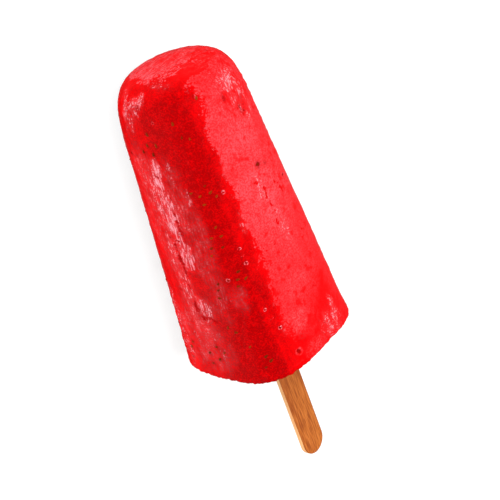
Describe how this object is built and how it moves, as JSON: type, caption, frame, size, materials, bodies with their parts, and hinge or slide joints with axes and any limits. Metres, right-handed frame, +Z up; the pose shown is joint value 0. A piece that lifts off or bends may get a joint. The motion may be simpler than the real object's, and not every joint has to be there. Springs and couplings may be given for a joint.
{
  "type": "ice pop",
  "caption": "Strawberry fruit ice pop: a tapered bar of red ice with a rounded-square section and a domed tip, on a flat wooden stick, lying on its back.",
  "frame": {"origin": "on the surface that the ice pop lies on, under the middle of its overall length and width", "axes": "+Y along the bar towards its domed tip, with the stick towards -Y; +Z up, out of the broad face that is shown uppermost; +X to the right"},
  "size_m": [0.0468, 0.1478, 0.0463],
  "materials": {
    "strawberry_ice": "frozen strawberry puree, deep red, lightly frosted, satin to wet gloss",
    "strawberry_seeds": "olive-brown strawberry seeds caught in the surface of the ice",
    "stick_wood": "bare birch, sanded, warm tan, darker where the ice has wetted it"
  },
  "bodies": {
    "root": {"ice_bar": "strawberry_ice", "stick": "stick_wood"}
  },
  "joints": []
}
